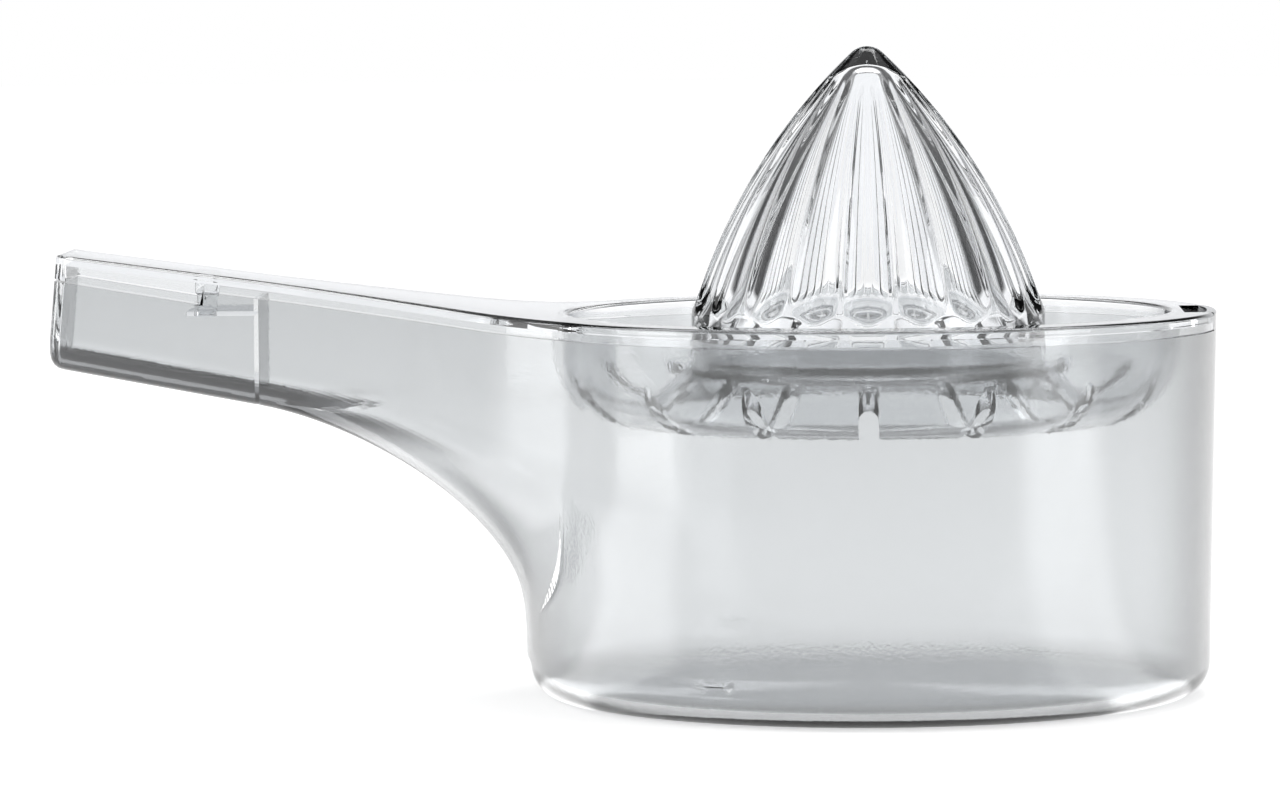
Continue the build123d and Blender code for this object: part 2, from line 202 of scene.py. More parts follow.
@dataclass(frozen=True)
class Envelope:
    """Outside that the jug and its lid share: a drafted round body and a neck that runs into the grip."""

    rim_radius: float = 0.0700
    rim_height: float = 0.0771
    draft_run: float = 0.0014
    base_corner: float = 0.0065
    wall: float = 0.0020
    neck_length: float = 0.0520
    grip_length: float = 0.0426
    grip_width: float = 0.0280
    grip_drop: float = 0.0180
    grip_rise_share: float = 0.187
    grip_corner: float = 0.0065
    tip_lean_share: float = 0.09
    tip_rounding: float = 0.0025
    neck_foot: float = 0.0126
    neck_lead: float = 0.0196
    neck_drop: float = 0.0257
    flare_meet_angle: float = radians(36.8)
    flare_lead: float = 0.0100
    flare_run: float = 0.0220
    foot_corner_share: float = 0.95
    foot_corner_depth: float = 0.0400
    blend: float = 0.0030
    handle_fade: float = 0.0300
    handle_sink: float = 0.0030
    band: float = 0.0037
    plate: float = 0.0020
    rise_inset: float = 0.0180
    rise_run: float = 0.0280
    rise_share: float = 0.133
    step_run: float = 0.0110
    step_drop: float = 0.0027
    step_rise_share: float = 0.167
    body_columns: int = 116
    step_columns: int = 7
    grip_columns: int = 16
    tip_columns: int = 9

    @property
    def grip_start(self) -> float:
        """Reach at which the neck ends and the straight grip begins."""
        return self.rim_radius + self.neck_length

    @property
    def reach(self) -> float:
        """Reach of the handle's tip at its lower edge."""
        return self.grip_start + self.grip_length

    @property
    def grip_bottom(self) -> float:
        """Height of the grip's underside where the grip begins."""
        return self.rim_height - self.grip_drop

    def radius(self, z: np.ndarray | float) -> np.ndarray | float:
        """Radius of the body's drafted wall at a height."""
        share = (z - self.base_corner) / (self.rim_height - self.base_corner)
        return self.rim_radius - self.draft_run * (1 - share)

    def underside(self) -> np.ndarray:
        """Side view of the neck's underside as rows of x and z, from the foot up past the grip's end.

        Returns:
            The points, lowest first.
        """
        foot = (-self.radius(self.neck_foot), self.neck_foot)
        start = (-self.grip_start, self.grip_bottom)
        lead = (start[0] + self.neck_lead, start[1] - self.grip_rise_share * self.neck_lead)
        curve = cubic([foot, (foot[0], foot[1] + self.neck_drop), lead, start], CURVE_SHARES)
        run = 2 * self.grip_length
        far = (start[0] - run, start[1] + self.grip_rise_share * run)
        low = (-self.radius(-self.rim_height), -self.rim_height)
        return np.vstack([[low], curve, [far]])

    def flare(self) -> np.ndarray:
        """Plan of the neck's side as rows of x and y, from where it meets the rim to the grip.

        Returns:
            The points, from the rim outwards.
        """
        out = np.array([-cos(self.flare_meet_angle), sin(self.flare_meet_angle)])
        meet = self.rim_radius * out
        run = meet + self.flare_run * np.array([-out[1], out[0]])
        start = (-self.grip_start, self.grip_width / 2)
        lead = (start[0] + self.flare_lead, start[1])
        return cubic([tuple(meet), tuple(run), lead, start], CURVE_SHARES)

    def half_width(self, x: np.ndarray) -> np.ndarray:
        """Half width of the neck and grip at x.

        Args:
            x: Places along X.

        Returns:
            One half width for each place.
        """
        side = self.flare()
        inside = np.linspace(0, -side[0, 0], 60)
        sink = self.handle_sink * (1 - inside / inside[-1]) ** 2
        fade = np.sqrt((self.rim_radius - sink) ** 2 - inside**2)
        xs = np.concatenate([[-2 * self.reach], side[::-1, 0], -inside[::-1][1:]])
        ys = np.concatenate([[self.grip_width / 2], side[::-1, 1], fade[::-1][1:]])
        return np.interp(x, xs, ys)

    def neck_field(self, p: np.ndarray) -> np.ndarray:
        """Signed distance, nearly, from the neck and a grip without an end, at each row of p.

        Args:
            p: Points as rows.

        Returns:
            One distance for each point.
        """
        x, y, z = p[:, 0], np.abs(p[:, 1]), p[:, 2]
        under = self.underside()
        under_x = np.interp(z, under[:, 1], under[:, 0])
        slope = np.gradient(under[:, 0], under[:, 1])
        lean = np.interp(z, under[:, 1], slope)
        depth = (x - under_x) / np.sqrt(1 + lean**2)
        half = self.half_width(x)
        side = half - y
        grown = np.clip((self.grip_bottom - z) / (self.grip_bottom - self.neck_foot), 0, 1)
        grown = grown * grown * (3 - 2 * grown)
        start_share = self.grip_corner / (self.grip_width / 2)
        wide = half * (start_share + (self.foot_corner_share - start_share) * grown)
        deep = self.grip_corner + (self.foot_corner_depth - self.grip_corner) * grown
        across = np.clip((wide - side) / wide, 0, None)
        down = np.clip((deep - depth) / deep, 0, None)
        reach = np.hypot(across, down)
        steep = np.hypot(across / wide, down / deep) / np.maximum(reach, 1e-9)
        corner = (reach - 1) / np.maximum(steep, 1e-3)
        return np.where((across > 0) & (down > 0), corner, np.maximum(-side, -depth))

    def field(self, p: np.ndarray) -> np.ndarray:
        """Signed distance, nearly, from the outside: negative inside, one value for each row of p.

        Args:
            p: Points as rows.

        Returns:
            One distance for each point.
        """
        x, y, z = p[:, 0], np.abs(p[:, 1]), p[:, 2]
        body = np.hypot(x, y) - self.radius(z)
        neck = self.neck_field(p)
        tip_x = -self.reach + self.tip_lean_share * (z - self.tip_low)
        tip = (tip_x - x) / sqrt(1 + self.tip_lean_share**2)
        edge = self.tip_rounding
        out = np.hypot(np.maximum(neck + edge, 0), np.maximum(tip + edge, 0))
        handle = np.maximum(np.minimum(np.maximum(neck, tip) + edge, 0) + out - edge, x)
        high = np.clip((z - self.grip_bottom + self.grip_drop) / self.grip_drop, 0, 1)
        apart = np.clip(-x / self.handle_fade, 0, 1)
        fillet = self.blend * (1 - high) * apart + 1e-6
        near = np.maximum(fillet - np.abs(body - handle), 0) / fillet
        return np.minimum(body, handle) - near * near * fillet / 4

    @property
    def tip_low(self) -> float:
        """Height of the tip's lower edge."""
        return self.grip_bottom + self.grip_rise_share * self.grip_length

    def gradient(self, p: np.ndarray) -> np.ndarray:
        """Gradient of the field at each row of p."""
        step = 2e-5
        shifts = np.eye(3) * step
        return np.stack([self.field(p + s) - self.field(p - s) for s in shifts], axis=1) / (2 * step)

    def settle(self, p: np.ndarray, level: bool = False, steps: int = 8) -> np.ndarray:
        """Move points onto the outside.

        Args:
            p: Points as rows.
            level: Whether heights are kept.
            steps: Number of corrections.

        Returns:
            The moved points.
        """
        p = p.copy()
        for _ in range(steps):
            slope = self.gradient(p)
            if level:
                slope[:, 2] = 0
            p -= (self.field(p) / np.maximum((slope**2).sum(axis=1), 1e-6))[:, None] * slope
        return p

    def normals(self, p: np.ndarray) -> np.ndarray:
        """Outward unit normals of the outside at each row of p."""
        slope = self.gradient(p)
        return slope / np.linalg.norm(slope, axis=1)[:, None]

    def rising(self, height: float, x: np.ndarray) -> np.ndarray:
        """Height at x of a line that is level over the jug and climbs along the handle.

        Args:
            height: Height over the jug.
            x: Places along X.

        Returns:
            One height for each place.
        """
        angle = atan2(self.rise_share, 1)
        radius = self.rise_run / sin(angle)
        past = np.maximum(-x - (self.rim_radius - self.rise_inset), 0)
        bend = np.minimum(past, self.rise_run)
        climb = radius - np.sqrt(radius**2 - bend**2)
        return height + climb + self.rise_share * np.maximum(past - self.rise_run, 0)

    def seam(self, x: np.ndarray, beyond_step: np.ndarray) -> np.ndarray:
        """Height of the seam between jug and lid at x, deeper beyond the step over the grip.

        Args:
            x: Places along X.
            beyond_step: Whether each place lies beyond the step.

        Returns:
            One height for each place.
        """
        high = self.rising(self.rim_height - self.band, x)
        reach = self.grip_start + self.step_run
        low = self.rising(self.rim_height - self.band, np.array([-reach]))[0] - self.step_drop
        return np.where(beyond_step, low + self.step_rise_share * (-x - reach), high)

    def plan(self) -> tuple[np.ndarray, np.ndarray]:
        """Half of the outline in plan, from the lip round the jug to the middle of the tip.

        Returns:
            Rows of x and y, and for each row whether it lies beyond the seam's step.
        """
        meet = pi - self.flare_meet_angle
        angles = np.linspace(0, meet, self.body_columns)
        body = self.rim_radius * np.stack([np.cos(angles), np.sin(angles)], axis=1)
        flare = self.flare()[::4][1:]
        step_x = -(self.grip_start + self.step_run)
        corner = self.tip_rounding
        far = -self.reach + self.tip_lean_share * self.band * 3
        half = self.grip_width / 2
        to_step = np.linspace(-self.grip_start, step_x, self.step_columns)[1:]
        straight = np.concatenate([to_step, np.linspace(step_x, far + corner, self.grip_columns)])
        grip = np.stack([straight, np.full_like(straight, half)], axis=1)
        turn = np.radians(np.linspace(90, 180, self.tip_columns))[1:]
        bend_x, bend_y = far + corner + corner * np.cos(turn), half - corner + corner * np.sin(turn)
        bend = np.stack([bend_x, bend_y], axis=1)
        end = np.linspace(half - corner, 0, self.tip_columns)[1:]
        tip = np.stack([np.full_like(end, far), end], axis=1)
        rows = np.vstack([body, flare, grip, bend, tip])
        beyond = np.zeros(len(rows), bool)
        beyond[len(body) + len(flare) + len(to_step) :] = True
        return rows, beyond

    def ring(self, rows: np.ndarray, heights: np.ndarray) -> np.ndarray:
        """Put a plan outline onto the outside at the given heights."""
        return self.settle(np.column_stack([rows, heights]), level=True)


def mirrored_sheet(sheet: np.ndarray) -> tuple[np.ndarray, list[tuple[int, ...]]]:
    """Join a half sheet and its mirror image in Y into a closed band.

    Args:
        sheet: Rows by columns by 3 array; its first and last columns lie in the plane y = 0.

    Returns:
        Points and faces of the whole band. Columns run once round.
    """
    other = sheet[:, -2:0:-1].copy()
    other[..., 1] *= -1
    whole = np.concatenate([sheet, other], axis=1)
    rows, columns = whole.shape[:2]
    faces = []
    for row in range(rows - 1):
        for column in range(columns):
            after = (column + 1) % columns
            low, high = row * columns, (row + 1) * columns
            faces.append((low + column, low + after, high + after, high + column))
    return whole.reshape(-1, 3), faces


def strips(columns: int, offset: int) -> list[tuple[int, ...]]:
    """Faces that close a mirrored band's edge with strips from side to side.

    Args:
        columns: Number of columns of the whole band.
        offset: Number of the edge's first point.

    Returns:
        Point numbers of each face.
    """
    half = columns // 2
    faces = []
    for column in range(half):
        a, b = column, column + 1
        c, d = (columns - b) % columns, (columns - a) % columns
        faces.append(tuple(dict.fromkeys(offset + i for i in (a, b, c, d))))
    return faces


def banded_solid(name: str, sheet: np.ndarray) -> bpy.types.Object:
    """Make a closed solid from a half band, its mirror image and strips over both edges.

    Args:
        name: Name of the object.
        sheet: Half sheet, as rows by columns by 3.

    Returns:
        The closed solid.
    """
    points, faces = mirrored_sheet(sheet)
    columns = 2 * sheet.shape[1] - 2
    last = (sheet.shape[0] - 1) * columns
    return new_object(name, points, faces + strips(columns, 0) + strips(columns, last))


class Seen(Enum):
    """Rays for which the studio shows its own white, by the name of Light Path's output."""

    CAMERA = "Is Camera Ray"
    GLOSSY = "Is Glossy Ray"
    TRANSMISSION = "Is Transmission Ray"


def add_node(tree: bpy.types.NodeTree, kind: str, **settings: object) -> bpy.types.Node:
    """Add a node to a tree and set its plain settings.

    Args:
        tree: Tree that takes the node.
        kind: Type of the node.
        settings: Attributes of the node and their values.

    Returns:
        The new node.
    """
    made = tree.nodes.new(kind)
    for key, value in settings.items():
        setattr(made, key, value)
    return made


def seen_mask(tree: bpy.types.NodeTree, rays: Sequence[Seen]) -> bpy.types.NodeSocket:
    """Make a mask that is 1 for the given rays and 0 for the others.

    Args:
        tree: Tree that takes the nodes.
        rays: Kinds of ray that count.

    Returns:
        The mask's socket.
    """
    path = add_node(tree, "ShaderNodeLightPath")
    mask = path.outputs[rays[0].value]
    for ray in rays[1:]:
        larger = add_node(tree, "ShaderNodeMath", operation="MAXIMUM")
        tree.links.new(mask, larger.inputs[0])
        tree.links.new(path.outputs[ray.value], larger.inputs[1])
        mask = larger.outputs[0]
    return mask


def grain_and_shade_masks() -> bpy.types.ShaderNodeTree:
    """Group for moulded plastic: a slow haze, a fine grain and how each place is turned.

    Returns:
        The group, with Roughness, Height, Upright and Under outputs. Upright is 1 where the surface stands
        and 0 where it lies flat, and Under is 1 where it turns under along the grip's lower edge. Upright
        and
        Under only place painted shade: dark edges, and a dark band under the grip.
    """
    known = bpy.data.node_groups.get("grain_and_shade_masks")
    if known:
        return known
    tree = bpy.data.node_groups.new("grain_and_shade_masks", "ShaderNodeTree")
    for name in ("Grain Scale", "Haze Scale", "Roughness", "Spread", "Flow"):
        tree.interface.new_socket(name, in_out="INPUT", socket_type="NodeSocketFloat")
    for name in ("Roughness", "Height", "Upright", "Under"):
        tree.interface.new_socket(name, in_out="OUTPUT", socket_type="NodeSocketFloat")
    into = add_node(tree, "NodeGroupInput")
    out = add_node(tree, "NodeGroupOutput")
    place = add_node(tree, "ShaderNodeTexCoord")
    grain = add_node(tree, "ShaderNodeTexNoise")
    grain.inputs["Detail"].default_value = 2
    haze = add_node(tree, "ShaderNodeTexNoise")
    haze.inputs["Detail"].default_value = 3
    for texture, scale in ((grain, "Grain Scale"), (haze, "Haze Scale")):
        tree.links.new(place.outputs["Object"], texture.inputs["Vector"])
        tree.links.new(into.outputs[scale], texture.inputs["Scale"])
    spread = add_node(tree, "ShaderNodeMath", operation="MULTIPLY_ADD")
    tree.links.new(haze.outputs["Fac"], spread.inputs[0])
    tree.links.new(into.outputs["Spread"], spread.inputs[1])
    tree.links.new(into.outputs["Roughness"], spread.inputs[2])
    tree.links.new(spread.outputs[0], out.inputs["Roughness"])
    height = add_node(tree, "ShaderNodeMath", operation="MULTIPLY_ADD")
    tree.links.new(haze.outputs["Fac"], height.inputs[0])
    tree.links.new(into.outputs["Flow"], height.inputs[1])
    tree.links.new(grain.outputs["Fac"], height.inputs[2])
    tree.links.new(height.outputs[0], out.inputs["Height"])
    facing = add_node(tree, "ShaderNodeNewGeometry")
    parts = add_node(tree, "ShaderNodeSeparateXYZ")
    tree.links.new(facing.outputs["True Normal"], parts.inputs[0])
    size = add_node(tree, "ShaderNodeMath", operation="ABSOLUTE")
    tree.links.new(parts.outputs["Z"], size.inputs[0])
    level = add_node(tree, "ShaderNodeSeparateXYZ")
    tree.links.new(place.outputs["Object"], level.inputs[0])
    shares = []
    for source, (low, high) in (
        (size.outputs[0], LYING_TO_STANDING),
        (parts.outputs["Z"], UNDER_SHADE_SLOPES),
        (level.outputs["Z"], UNDER_SHADE_HEIGHTS),
    ):
        share = add_node(tree, "ShaderNodeMapRange", interpolation_type="SMOOTHSTEP")
        share.inputs["From Min"].default_value = low
        share.inputs["From Max"].default_value = high
        tree.links.new(source, share.inputs["Value"])
        shares.append(share.outputs["Result"])
    upright, under, high_up = shares
    tree.links.new(upright, out.inputs["Upright"])
    # Painted shade mask: surfaces that face down above the grip's lower edge, where a dark band is painted.
    under_shade_mask = add_node(tree, "ShaderNodeMath", operation="MULTIPLY")
    tree.links.new(under, under_shade_mask.inputs[0])
    tree.links.new(high_up, under_shade_mask.inputs[1])
    tree.links.new(under_shade_mask.outputs[0], out.inputs["Under"])
    return tree


@dataclass(frozen=True)
class ClearPlastic:
    """Finish of a clear moulding: its tint, the painted shade at grazing sight and under the grip, and how
    smooth it is.
    """

    name: str
    tint: tuple[float, float, float]
    # Tint of the painted shade at grazing sight and under the grip.
    painted_shade_tint: tuple[float, float, float]
    edge_shade_start: float
    roughness: float
    roughness_spread: float
    grain_scale: float
    grain_depth: float
    under_shade_share: float = 0.0
    haze_scale: float = 30.0
    flow: float = 0.3
    index: float = 1.5
    clearness: float = 1.0

    def make(self) -> bpy.types.Material:
        """Make the material.

        Returns:
            The finished material.
        """
        material = bpy.data.materials.new(self.name)
        material.use_nodes = True
        tree = material.node_tree
        surface = tree.nodes["Principled BSDF"]
        surface.inputs["Transmission Weight"].default_value = self.clearness
        surface.inputs["Metallic"].default_value = 0.0
        surface.inputs["IOR"].default_value = self.index
        grain = add_node(tree, "ShaderNodeGroup", node_tree=grain_and_shade_masks())
        grain.inputs["Grain Scale"].default_value = self.grain_scale
        grain.inputs["Haze Scale"].default_value = self.haze_scale
        grain.inputs["Roughness"].default_value = self.roughness
        grain.inputs["Spread"].default_value = self.roughness_spread
        grain.inputs["Flow"].default_value = self.flow
        tree.links.new(grain.outputs["Roughness"], surface.inputs["Roughness"])
        bump = add_node(tree, "ShaderNodeBump")
        bump.inputs["Strength"].default_value = 1.0
        bump.inputs["Distance"].default_value = self.grain_depth
        tree.links.new(grain.outputs["Height"], bump.inputs["Height"])
        tree.links.new(bump.outputs["Normal"], surface.inputs["Normal"])
        # Painted shade: standing surfaces darken towards grazing sight, in place of dark reflections at the
        # edges.
        weight = add_node(tree, "ShaderNodeLayerWeight")
        weight.inputs["Blend"].default_value = 0.5
        edge = add_node(tree, "ShaderNodeMapRange", interpolation_type="SMOOTHSTEP")
        edge.inputs["From Min"].default_value = self.edge_shade_start
        edge.inputs["From Max"].default_value = 1.0
        tree.links.new(weight.outputs["Facing"], edge.inputs["Value"])
        edge_shade_mask = add_node(tree, "ShaderNodeMath", operation="MULTIPLY")
        tree.links.new(edge.outputs["Result"], edge_shade_mask.inputs[0])
        tree.links.new(grain.outputs["Upright"], edge_shade_mask.inputs[1])
        # Painted shade: a dark band where the surface turns under along the grip.
        turned = add_node(tree, "ShaderNodeMath", operation="MULTIPLY")
        tree.links.new(grain.outputs["Under"], turned.inputs[0])
        turned.inputs[1].default_value = self.under_shade_share
        painted_shade = add_node(tree, "ShaderNodeMath", operation="MAXIMUM")
        tree.links.new(edge_shade_mask.outputs[0], painted_shade.inputs[0])
        tree.links.new(turned.outputs[0], painted_shade.inputs[1])
        # Base colour: the plastic's tint, mixed towards the painted shade tint by both masks.
        colour = add_node(tree, "ShaderNodeMix", data_type="RGBA")
        tree.links.new(painted_shade.outputs[0], colour.inputs["Factor"])
        for socket, tone in zip([s for s in colour.inputs if s.type == "RGBA"], (self.tint, self.painted_shade_tint)):
            socket.default_value = (*tone, 1)
        result = next(s for s in colour.outputs if s.type == "RGBA")
        tree.links.new(result, surface.inputs["Base Color"])
        return material


SATIN = ClearPlastic(
    name="satin_clear_plastic",
    tint=(0.71, 0.722, 0.73),
    # Near-black painted shade tint for the dark edges and the dark band under the grip.
    painted_shade_tint=(0.030, 0.032, 0.036),
    edge_shade_start=0.38,
    roughness=0.025,
    roughness_spread=0.03,
    grain_scale=1500,
    grain_depth=0.000014,
    # Strength of the painted dark band under the grip.
    under_shade_share=0.97,
)
# Painted shade: a dark, half clear finish for the seam's level faces, in place of the dark line that light
# draws where jug and lid meet.
SEAM_SHADE = ClearPlastic(
    name="painted_seam_shade",
    tint=(0.10, 0.105, 0.11),
    painted_shade_tint=(0.05, 0.05, 0.06),
    edge_shade_start=0.4,
    roughness=0.10,
    roughness_spread=0.05,
    grain_scale=1500,
    grain_depth=0.00001,
    clearness=0.3,
)
GLOSSY = ClearPlastic(
    name="glossy_clear_plastic",
    tint=(0.87, 0.878, 0.885),
    # Dark painted shade tint for the lid's edges at grazing sight.
    painted_shade_tint=(0.16, 0.17, 0.19),
    edge_shade_start=0.55,
    roughness=0.0,
    roughness_spread=0.02,
    grain_scale=300,
    grain_depth=0.000004,
)
CRYSTAL = ClearPlastic(
    name="crystal_clear_plastic",
    tint=(0.97, 0.975, 0.98),
    # Near-black painted shade tint for the cone's edges, which darkens the flutes' sides.
    painted_shade_tint=(0.012, 0.014, 0.016),
    edge_shade_start=0.42,
    roughness=0.0,
    roughness_spread=0.01,
    grain_scale=200,
    grain_depth=0.000002,
)


@dataclass(frozen=True)
class Place:
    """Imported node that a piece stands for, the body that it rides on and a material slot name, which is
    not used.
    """

    node: str
    body: str
    slot: str


def dress(piece: bpy.types.Object, finish: ClearPlastic, place: Place) -> None:
    """Smooth a piece, give it its finish and put it in its packed place.

    Args:
        piece: The piece.
        finish: Its finish.
        place: Node and body that it takes.
    """
    piece.data.shade_smooth()
    piece.data.set_sharp_from_angle(angle=SHARP_TURN)
    weighted = piece.modifiers.new("even_shading", "WEIGHTED_NORMAL")
    weighted.keep_sharp = True
    piece.data.materials.clear()
    piece.data.materials.append(finish.make())
    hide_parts(place.node)
    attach(piece, place.body)


@dataclass
class Jug:
    """Jug with its trough-shaped handle, the bulkhead and the shelf in it, and the pouring lip."""

    shape: Envelope
    place: Place = Place("jug", "jug", "jug_plastic")
    floor: float = 0.0024
    bulkhead: float = 0.0009
    shelf_thickness: float = 0.0009
    shelf_depth: float = 0.0040
    shelf_margin: float = 0.0031
    peg_run: float = 0.0114
    hole_radius: float = 0.00235
    lip_width: float = 0.0240
    lip_root: float = 0.0006
    lip_sink: float = 0.00003
    lip_edge: float = 0.0005
    lip_columns: int = 360
    hole_columns: int = 48
    side_turn: float = radians(118)
    back_turn: float = radians(140)
    cornered_from: float = 0.055
    cornered_run: float = 0.020
    relax_share: float = 0.5
    relax_passes: int = 40
    rows: int = 44
    foot_steps: int = 10
    floor_rings: int = 8

    def foot_line(self, rows: np.ndarray) -> np.ndarray:
        """Lower edge of the wall: round the foot, then up the middle of the handle's underside.

        Args:
            rows: Plan outline that the upper edge follows.

        Returns:
            One point for each row of the outline.
        """
        shape = self.shape
        run = np.concatenate([[0], np.cumsum(np.hypot(*np.diff(rows, axis=0).T))])
        turn = np.unwrap(np.arctan2(rows[:, 1], rows[:, 0]))
        at_side = run[np.argmax(turn > self.side_turn)]
        at_back = run[np.argmax(turn > self.back_turn)]
        at_grip = run[np.argmax(rows[:, 0] <= -shape.grip_start + 1e-9)]
        corner = rows[:, 0].min() + shape.tip_rounding
        at_tip = run[np.argmax(rows[:, 0] < corner)]
        result = np.zeros((len(rows), 3))
        foot_z = shape.base_corner
        foot_radius = shape.radius(foot_z)
        under = shape.underside()[1:-1]
        under = np.vstack([[-foot_radius, foot_z], under])
        under_run = np.concatenate([[0], np.cumsum(np.hypot(*np.diff(under, axis=0).T))])
        for index, here in enumerate(run):
            if here <= at_back:
                angle = np.interp(here, [0, at_side, at_back], [0, self.side_turn, pi])
                result[index] = (foot_radius * cos(angle), foot_radius * sin(angle), foot_z)
            elif here <= at_grip:
                share = (here - at_back) / (at_grip - at_back) * under_run[-1]
                result[index, 0] = np.interp(share, under_run, under[:, 0])
                result[index, 2] = np.interp(share, under_run, under[:, 1])
            else:
                share = np.clip((here - at_grip) / (at_tip - at_grip), 0, 1)
                x = -shape.grip_start - share * (shape.grip_length - shape.tip_rounding)
                low = shape.grip_bottom + shape.grip_rise_share * (-x - shape.grip_start)
                climb = np.clip((here - at_tip) / (run[-1] - at_tip), 0, 1)
                top = shape.seam(np.array([-shape.reach]), np.array([True]))[0]
                if climb > 0:
                    x = -shape.reach
                    low = shape.tip_low + climb * (top - shape.tip_low)
                result[index] = (x, 0, low)
        return result

    def outer_sheet(self) -> np.ndarray:
        """Outside of the wall as a half sheet, from the foot line up to the seam.

        Returns:
            Rows by columns by 3 array, lowest row first.
        """
        shape = self.shape
        rows, beyond = shape.plan()
        top = shape.ring(rows, shape.seam(rows[:, 0], beyond))
        top[:, 2] = shape.seam(top[:, 0], beyond)
        foot = self.foot_line(rows)
        bend = (top + foot) / 2
        cornered = np.column_stack([bend[:, 0], top[:, 1], foot[:, 2]])
        weight = np.clip((-self.cornered_from - foot[:, 0]) / self.cornered_run, 0, 1)[:, None]
        weight = weight * (foot[:, 1:2] < 1e-6)
        bend = bend + weight * (cornered - bend)
        sheet = np.zeros((self.rows + 1, len(rows), 3))
        for column in range(len(rows)):
            path = np.array([foot[column], bend[column], top[column]])
            run = np.concatenate([[0], np.cumsum(np.linalg.norm(np.diff(path, axis=0), axis=1))])
            shares = np.linspace(0, run[-1], self.rows + 1)
            for axis in range(3):
                sheet[:, column, axis] = np.interp(shares, run, path[:, axis])
        inner = (slice(1, -1), slice(1, -1))
        for _ in range(self.relax_passes):
            around = sheet[:-2, 1:-1] + sheet[2:, 1:-1] + sheet[1:-1, :-2] + sheet[1:-1, 2:]
            sheet[inner] = (1 - self.relax_share) * sheet[inner] + self.relax_share / 4 * around
            flat = shape.settle(sheet[inner].reshape(-1, 3), steps=2)
            sheet[inner] = flat.reshape(sheet[inner].shape)
            for edge, beside in ((0, 1), (-1, -2)):
                middle = sheet[1:-1, beside] * np.array([1, 0, 1])
                sheet[1:-1, edge] = shape.settle(middle, steps=2)
        return sheet

    def solid(self, name: str, sheet: np.ndarray, foot_corner: float, floor: float) -> bpy.types.Object:
        """Close a half sheet with a rounded foot below and strips above.

        Args:
            name: Name of the object.
            sheet: Half sheet, lowest row first.
            foot_corner: Radius of the rounded foot in plan.
            floor: Height of the flat bottom.

        Returns:
            The closed solid.
        """
        points, faces = mirrored_sheet(sheet)
        columns = 2 * sheet.shape[1] - 2
        last = (sheet.shape[0] - 1) * columns
        faces += strips(columns, last)
        body = new_object(name, points, faces)
        foot = sheet[0]
        far_side = foot[:, 0][foot[:, 2] < foot[0, 2] + 1e-9].min()
        round_columns = int(np.argmax(foot[:, 0] <= far_side + 1e-9))
        ring = foot[: round_columns + 1]
        radius, height = ring[0, 0], ring[0, 2]
        levels = []
        for radial, z in arc((radius - foot_corner, height), 1.0, 0, -90, self.foot_steps):
            level = ring.copy()
            out = radial - (radius - foot_corner)
            level[:, :2] *= (radius - foot_corner + out * foot_corner) / radius
            level[:, 2] = height + (z - height) * (height - floor)
            levels.append(level)
        bottom_radius = radius - foot_corner
        bottom = levels[-1]
        for share in np.linspace(1, 0, self.floor_rings + 1)[1:]:
            level = bottom.copy()
            level[:, :2] *= share * bottom_radius / np.hypot(*level[0, :2])
            levels.append(level)
        under_points, under_faces = mirrored_sheet(np.array(levels))
        under = new_object(name + "_foot", under_points, under_faces)
        return joined(body, under)

    def build(self) -> bpy.types.Object:
        """Make the whole jug.

        Returns:
            The jug's object.
        """
        shape = self.shape
        wall = shape.wall
        outside = self.outer_sheet()
        normals = shape.normals(outside.reshape(-1, 3)).reshape(outside.shape)
        normals[:, [0, -1], 1] = 0
        inside = outside - wall * normals
        on_foot = outside[0, :, 2] < shape.base_corner + 1e-9
        inside[0, :, 2] = np.where(on_foot, shape.base_corner, inside[0, :, 2])
        inside[:, :, 1] = np.maximum(inside[:, :, 1], 0)
        above = inside[-1] + np.array([0, 0, 3 * shape.band])
        inside = np.concatenate([inside, above[None]])
        jug = self.solid("jug_shell", outside, shape.base_corner, 0.0)
        block_from = (-shape.grip_start - self.bulkhead, -shape.grip_width, shape.neck_foot)
        block_to = (-shape.grip_start, shape.grip_width, 2 * shape.rim_height)
        plate = combine(block("bulkhead", block_from, block_to), copy_of(jug), Combine.TRIM)
        shelf = self.shelf()
        space = self.solid("jug_space", inside, shape.base_corner - wall, self.floor)
        combine(jug, space, Combine.CUT)
        combine(jug, plate, Combine.JOIN)
        combine(jug, shelf, Combine.JOIN)
        combine(jug, self.peg_hole(), Combine.CUT)
        return combine(jug, self.lip(), Combine.JOIN)

    def lip(self) -> bpy.types.Object:
        """Pouring lip: the wall carried up through the lid's notch to the rim's full height.

        Returns:
            The lip's solid, which reaches a little below the seam.
        """
        shape = self.shape
        low = shape.rim_height - shape.band - self.lip_root
        high = shape.rim_height
        outer = [shape.radius(z) - self.lip_sink for z in (low, high)]
        inner = shape.rim_radius - shape.wall
        edge = self.lip_edge
        body = [(0, low, 0), (outer[0], low, 0), (outer[1], high, edge), (inner, high, 0), (0, high, 0)]
        bore = [(0, low - edge), (inner, low - edge), (inner, high + edge), (0, high + edge)]
        ring = revolved("lip", rounded(body), self.lip_columns)
        lip = combine(ring, revolved("lip_bore", bore, self.lip_columns), Combine.CUT)
        half = self.lip_width / 2
        keep = block("lip_keep", (0, -half, low - edge), (2 * shape.rim_radius, half, high + edge))
        return combine(lip, keep, Combine.TRIM)

    def seam_shade_faces(self, jug: bpy.types.Object) -> list[int]:
        """Numbers of the level faces along the seam, which get a painted fine dark line of shade.

        Args:
            jug: The finished jug.

        Returns:
            The faces' numbers.
        """
        low = self.shape.grip_bottom
        flat = [face for face in jug.data.polygons if face.normal.z > 0.9 and face.center.z > low]
        depth = self.shape.field(np.array([face.center for face in flat]))
        return [face.index for face, inside in zip(flat, depth) if inside > -1.5 * self.shape.wall]

